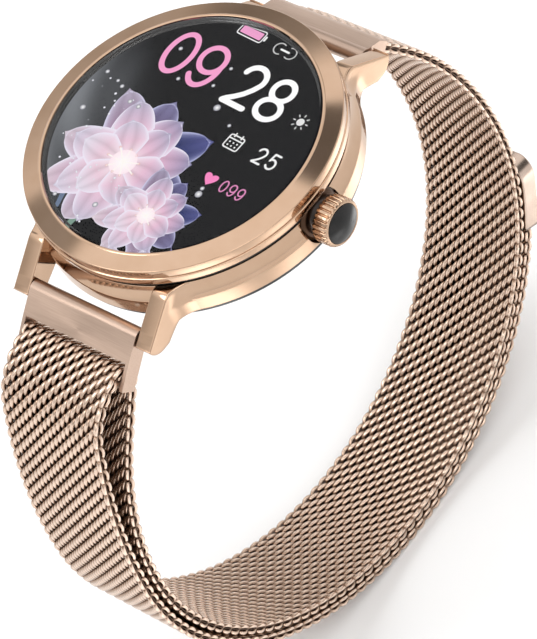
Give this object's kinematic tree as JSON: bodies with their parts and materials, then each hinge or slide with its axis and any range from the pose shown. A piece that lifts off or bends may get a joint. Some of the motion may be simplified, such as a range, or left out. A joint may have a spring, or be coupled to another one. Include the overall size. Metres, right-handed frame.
{
  "type": "smartwatch",
  "caption": "Round smartwatch with a rose gold case, side crown, black round display and a woven mesh loop strap that folds through a buckle to a magnetic clasp.",
  "frame": {"origin": "lowest point of the sensor window, at the middle of the back of the case, where the watch rests on the wrist", "axes": "+Z out of the display, +Y to 12 o'clock, +X to 3 o'clock and the crown"},
  "size_m": [0.0462, 0.0824, 0.0849],
  "materials": {
    "rose_polished": "polished rose gold plated steel",
    "rose_brushed": "brushed rose gold plated steel",
    "mesh": "woven rose gold plated steel wire",
    "glass": "clear cover glass",
    "display": "dark display with a coloured clock screen",
    "flex": "amber flexible circuit",
    "black_rubber": "matt black",
    "black_plastic": "gloss black",
    "sensor_glass": "dark tinted",
    "board": "green solder mask",
    "contact": "gold plated",
    "magnet": "nickel plated",
    "foil": "satin silver",
    "weight": "sintered grey",
    "chip": "moulded black",
    "carrier": "moulded dark grey",
    "dark_steel": "blackened steel",
    "steel": "plain steel",
    "stone": "polished black cabochon",
    "switch": "moulded cream"
  },
  "bodies": {
    "case": {"bezel_ring": "rose_polished", "lens": "glass", "display_panel": "display", "display_flex": "flex", "bezel_gasket": "black_rubber", "mid_case": "rose_polished", "rear_cover": "black_plastic", "rear_gasket": "black_rubber", "sensor_window": "sensor_glass", "sensor_board": "board", "charge_ring_inner": "contact", "charge_ring_outer": "contact", "charge_magnet": "magnet", "battery": "foil", "motor_can": "foil", "main_board": "board", "processor_shield": "foil", "memory_chip": "chip", "power_chip": "chip", "radio_module": "foil", "microphone": "contact", "inner_frame": "carrier", "screw_1": "dark_steel", "screw_2": "dark_steel", "screw_3": "dark_steel", "screw_4": "dark_steel", "crown_tube": "steel", "crown_o_ring": "black_rubber", "crown_switch": "switch", "bar12_tube": "steel", "bar12_tip": "steel", "bar12_spring": "steel", "bar6_tube": "steel", "bar6_tip": "steel", "bar6_spring": "steel", "end_piece": "rose_brushed", "buckle": "rose_brushed", "mesh_upper_12": "mesh", "mesh_bottom_12": "mesh", "mesh_bottom_6": "mesh", "mesh_upper_6": "mesh", "mesh_slot": "mesh", "mesh_fold": "mesh", "mesh_out_bulge": "mesh", "mesh_out_side": "mesh", "mesh_out_low": "mesh"},
    "crown_push": {"switch_plunger": "chip"},
    "crown": {"crown_stem": "steel", "crown_knob": "rose_polished", "crown_cap": "stone"},
    "motor_weight": {"motor_rotor": "weight"},
    "bar12_release_tip": {"bar12_release": "steel"},
    "bar6_release_tip": {"bar6_release": "steel"},
    "tail_1": {"tail_a": "mesh"},
    "tail_2": {"tail_b": "mesh"},
    "tail_3": {"tail_c": "mesh", "clasp_body": "rose_brushed", "clasp_magnet": "magnet"}
  },
  "joints": [
    {"name": "crown_press", "type": "slide", "parent": "case", "child": "crown_push", "axis": [-1, 0, 0], "range_m": [0, 0.00045], "stiffness_N_per_m": 5000},
    {"name": "crown_turn", "type": "hinge", "parent": "crown_push", "child": "crown", "pos_m": [0.0216, 0, 0.0055], "axis": [1, 0, 0], "continuous": true},
    {"name": "motor_spin", "type": "hinge", "parent": "case", "child": "motor_weight", "pos_m": [0, 0.0126, 0.0044], "axis": [0, 0, 1], "continuous": true},
    {"name": "bar12_draw", "type": "slide", "parent": "case", "child": "bar12_release_tip", "axis": [-1, 0, 0], "range_m": [0, 0.0015], "stiffness_N_per_m": 700},
    {"name": "bar6_draw", "type": "slide", "parent": "case", "child": "bar6_release_tip", "axis": [-1, 0, 0], "range_m": [0, 0.0015], "stiffness_N_per_m": 700},
    {"name": "tail_peel_1", "type": "hinge", "parent": "case", "child": "tail_1", "pos_m": [0, -0.0291, -0.0618], "axis": [-1, 0, 0], "range_deg": [0, 25]},
    {"name": "tail_peel_2", "type": "hinge", "parent": "tail_1", "child": "tail_2", "pos_m": [0, -0.00359, -0.07369], "axis": [-1, 0, 0], "range_deg": [0, 30]},
    {"name": "tail_peel_3", "type": "hinge", "parent": "tail_2", "child": "tail_3", "pos_m": [0, 0.02057, -0.06834], "axis": [-1, 0, 0], "range_deg": [0, 40]}
  ]
}
